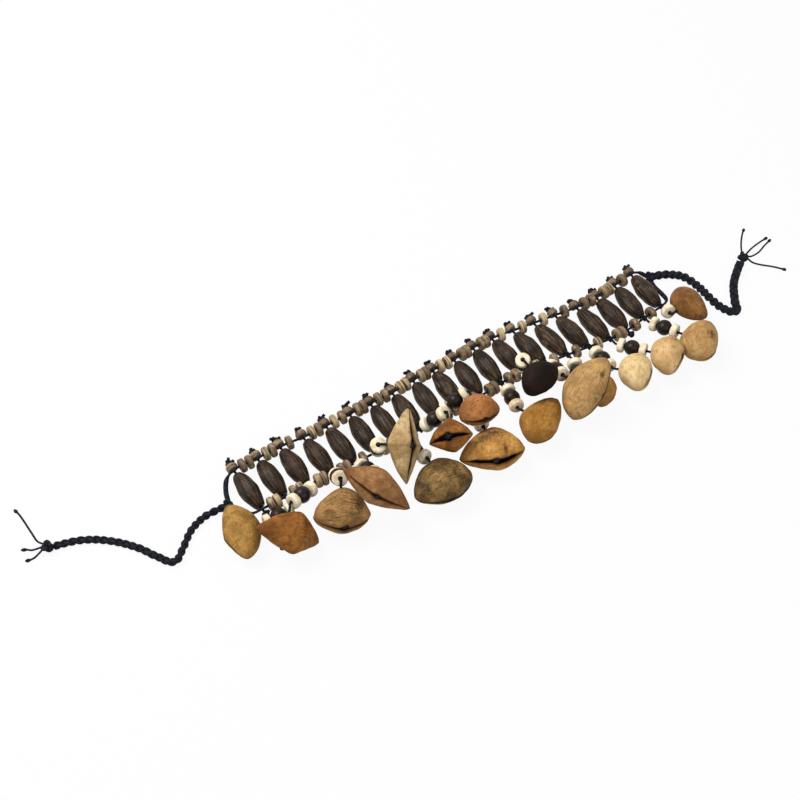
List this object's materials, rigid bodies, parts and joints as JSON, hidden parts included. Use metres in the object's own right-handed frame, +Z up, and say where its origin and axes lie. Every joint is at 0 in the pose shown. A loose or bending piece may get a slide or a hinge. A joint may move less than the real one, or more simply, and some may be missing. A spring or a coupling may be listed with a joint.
{
  "type": "seed rattle anklet",
  "caption": "Flexible ladder band of dark wooden beads on lacing cords, with hollow slit nut shells hung along its lower edge to rattle, and braided ties that close it round an ankle.",
  "frame": {"origin": "on the table under the middle of the band, where the inside of the band meets the ankle", "axes": "+X along the band towards the tie at the end with the single bead, +Y from the rail that carries the shells to the plain rail, +Z up from the table and away from the ankle"},
  "size_m": [0.3963, 0.102, 0.0336],
  "materials": {
    "rung_wood": "satin",
    "coconut_disc": "satin",
    "cord": "matte",
    "drop_beads": "satin",
    "shell_pale": "satin",
    "shell_orange": "satin",
    "shell_tan": "satin",
    "shell_red": "satin",
    "shell_grey": "matte",
    "shell_dark": "satin",
    "shell_gold": "satin"
  },
  "bodies": {
    "link_a": {"rung_beads_a": "rung_wood", "rail_discs_a": "coconut_disc", "rung_cords_a": "cord", "left_tie": "cord"},
    "link_b": {"rung_beads_b": "rung_wood", "rail_discs_b": "coconut_disc", "rung_cords_b": "cord"},
    "link_c": {"rung_beads_c": "rung_wood", "rail_discs_c": "coconut_disc", "rung_cords_c": "cord"},
    "link_d": {"rung_beads_d": "rung_wood", "rail_discs_d": "coconut_disc", "rung_cords_d": "cord", "top_rail_cord": "cord", "bottom_rail_cord": "cord"},
    "link_e": {"rung_beads_e": "rung_wood", "rail_discs_e": "coconut_disc", "rung_cords_e": "cord"},
    "link_f": {"rung_beads_f": "rung_wood", "rail_discs_f": "coconut_disc", "rung_cords_f": "cord"},
    "link_g": {"rung_beads_g": "rung_wood", "rail_discs_g": "coconut_disc", "rung_cords_g": "cord", "right_tie": "cord"},
    "pendant_01": {"drop_01": "drop_beads", "shell_01": "shell_pale"},
    "pendant_02": {"drop_02": "drop_beads", "shell_02": "shell_orange"},
    "pendant_03": {"drop_03": "drop_beads", "shell_03": "shell_tan"},
    "pendant_04": {"drop_04": "drop_beads", "shell_04": "shell_red"},
    "pendant_05": {"drop_05": "drop_beads", "shell_05": "shell_pale"},
    "pendant_06": {"drop_06": "drop_beads", "shell_06": "shell_grey"},
    "pendant_07": {"drop_07": "drop_beads", "shell_07": "shell_orange"},
    "pendant_08": {"drop_08": "drop_beads", "shell_08": "shell_red"},
    "pendant_09": {"drop_09": "drop_beads", "shell_09": "shell_orange"},
    "pendant_10": {"drop_10": "drop_beads", "shell_10": "shell_dark"},
    "pendant_11": {"drop_11": "drop_beads", "shell_11": "shell_gold"},
    "pendant_12": {"drop_12": "drop_beads", "shell_12": "shell_tan"},
    "pendant_13": {"drop_13": "drop_beads", "shell_13": "shell_orange"},
    "pendant_14": {"drop_14": "drop_beads", "shell_14": "shell_pale"},
    "pendant_15": {"drop_15": "drop_beads", "shell_15": "shell_tan"},
    "pendant_16": {"drop_16": "drop_beads", "shell_16": "shell_gold"},
    "pendant_17": {"drop_17": "drop_beads", "shell_17": "shell_red"}
  },
  "joints": [
    {"name": "curl_a", "type": "hinge", "parent": "link_b", "child": "link_a", "pos_m": [-0.0812, 0.0005, 0.0015], "axis": [0.044, -0.999, 0], "range_deg": [0, 45], "deforming": ["top_rail_cord", "bottom_rail_cord"]},
    {"name": "curl_b", "type": "hinge", "parent": "link_c", "child": "link_b", "pos_m": [-0.058, 0, 0.0015], "axis": [0, -1, 0], "range_deg": [0, 45], "deforming": ["top_rail_cord", "bottom_rail_cord"]},
    {"name": "curl_c", "type": "hinge", "parent": "link_d", "child": "link_c", "pos_m": [-0.0232, 0.0005, 0.0015], "axis": [-0.035, -0.9994, 0], "range_deg": [0, 45], "deforming": ["top_rail_cord", "bottom_rail_cord"]},
    {"name": "curl_e", "type": "hinge", "parent": "link_d", "child": "link_e", "pos_m": [0.0116, 0.0015, 0.0015], "axis": [0.035, 0.9994, 0], "range_deg": [0, 45], "deforming": ["top_rail_cord", "bottom_rail_cord"]},
    {"name": "curl_f", "type": "hinge", "parent": "link_e", "child": "link_f", "pos_m": [0.058, -0.0018, 0.0015], "axis": [-0.07, 0.9975, 0], "range_deg": [0, 45], "deforming": ["top_rail_cord", "bottom_rail_cord"]},
    {"name": "curl_g", "type": "hinge", "parent": "link_f", "child": "link_g", "pos_m": [0.0812, -0.004, 0.0015], "axis": [-0.026, 0.9997, 0], "range_deg": [0, 45], "deforming": ["top_rail_cord", "bottom_rail_cord"]},
    {"name": "swing_01", "type": "hinge", "parent": "link_a", "child": "pendant_01", "pos_m": [-0.09817, -0.01119, 0.0058], "axis": [0, 1, 0], "range_deg": [-45, 0]},
    {"name": "swing_02", "type": "hinge", "parent": "link_a", "child": "pendant_02", "pos_m": [-0.08657, -0.01119, 0.0058], "axis": [-0.9991, 0.042, 0], "range_deg": [0, 25]},
    {"name": "swing_03", "type": "hinge", "parent": "link_b", "child": "pendant_03", "pos_m": [-0.07476, -0.01218, 0.0058], "axis": [-0.9991, 0.043, 0], "range_deg": [-45, 0]},
    {"name": "swing_04", "type": "hinge", "parent": "link_b", "child": "pendant_04", "pos_m": [-0.06337, -0.01219, 0.0058], "axis": [-1, 0, 0], "range_deg": [0, 30]},
    {"name": "swing_05", "type": "hinge", "parent": "link_c", "child": "pendant_05", "pos_m": [-0.05263, -0.01219, 0.0058], "axis": [-1, 0, 0], "range_deg": [0, 25]},
    {"name": "swing_06", "type": "hinge", "parent": "link_c", "child": "pendant_06", "pos_m": [-0.0406, -0.0122, 0.0058], "axis": [-1, 0, 0], "range_deg": [-45, 0]},
    {"name": "swing_07", "type": "hinge", "parent": "link_c", "child": "pendant_07", "pos_m": [-0.02921, -0.0122, 0.0058], "axis": [-0.999, -0.045, 0], "range_deg": [0, 25]},
    {"name": "swing_08", "type": "hinge", "parent": "link_d", "child": "pendant_08", "pos_m": [-0.01804, -0.01118, 0.0058], "axis": [-0.9991, -0.043, 0], "range_deg": [0, 25]},
    {"name": "swing_09", "type": "hinge", "parent": "link_d", "child": "pendant_09", "pos_m": [-0.0058, -0.0112, 0.0058], "axis": [-1, 0, 0], "range_deg": [-45, 0]},
    {"name": "swing_10", "type": "hinge", "parent": "link_e", "child": "pendant_10", "pos_m": [0.02921, -0.0102, 0.0058], "axis": [-0.9981, 0.061, 0], "range_deg": [0, 25]},
    {"name": "swing_11", "type": "hinge", "parent": "link_e", "child": "pendant_11", "pos_m": [0.01697, -0.01019, 0.0058], "axis": [-0.9991, -0.042, 0], "range_deg": [-45, 0]},
    {"name": "swing_12", "type": "hinge", "parent": "link_e", "child": "pendant_12", "pos_m": [0.04124, -0.01168, 0.0058], "axis": [-0.9923, 0.124, 0], "range_deg": [0, 30]},
    {"name": "swing_13", "type": "hinge", "parent": "link_e", "child": "pendant_13", "pos_m": [0.05305, -0.01317, 0.0058], "axis": [-0.9919, 0.127, 0], "range_deg": [-45, 0]},
    {"name": "swing_14", "type": "hinge", "parent": "link_f", "child": "pendant_14", "pos_m": [0.06465, -0.01467, 0.0058], "axis": [-0.9915, 0.1299, 0], "range_deg": [-45, 20]},
    {"name": "swing_15", "type": "hinge", "parent": "link_f", "child": "pendant_15", "pos_m": [0.07604, -0.01618, 0.0058], "axis": [-0.9977, 0.068, 0], "range_deg": [-45, 20]},
    {"name": "swing_16", "type": "hinge", "parent": "link_g", "child": "pendant_16", "pos_m": [0.09796, -0.01468, 0.0058], "axis": [-0.9911, -0.133, 0], "range_deg": [-45, 20]},
    {"name": "swing_17", "type": "hinge", "parent": "link_g", "child": "pendant_17", "pos_m": [0.10956, -0.01318, 0.0058], "axis": [-0.9918, -0.128, 0], "range_deg": [-45, 20]}
  ]
}
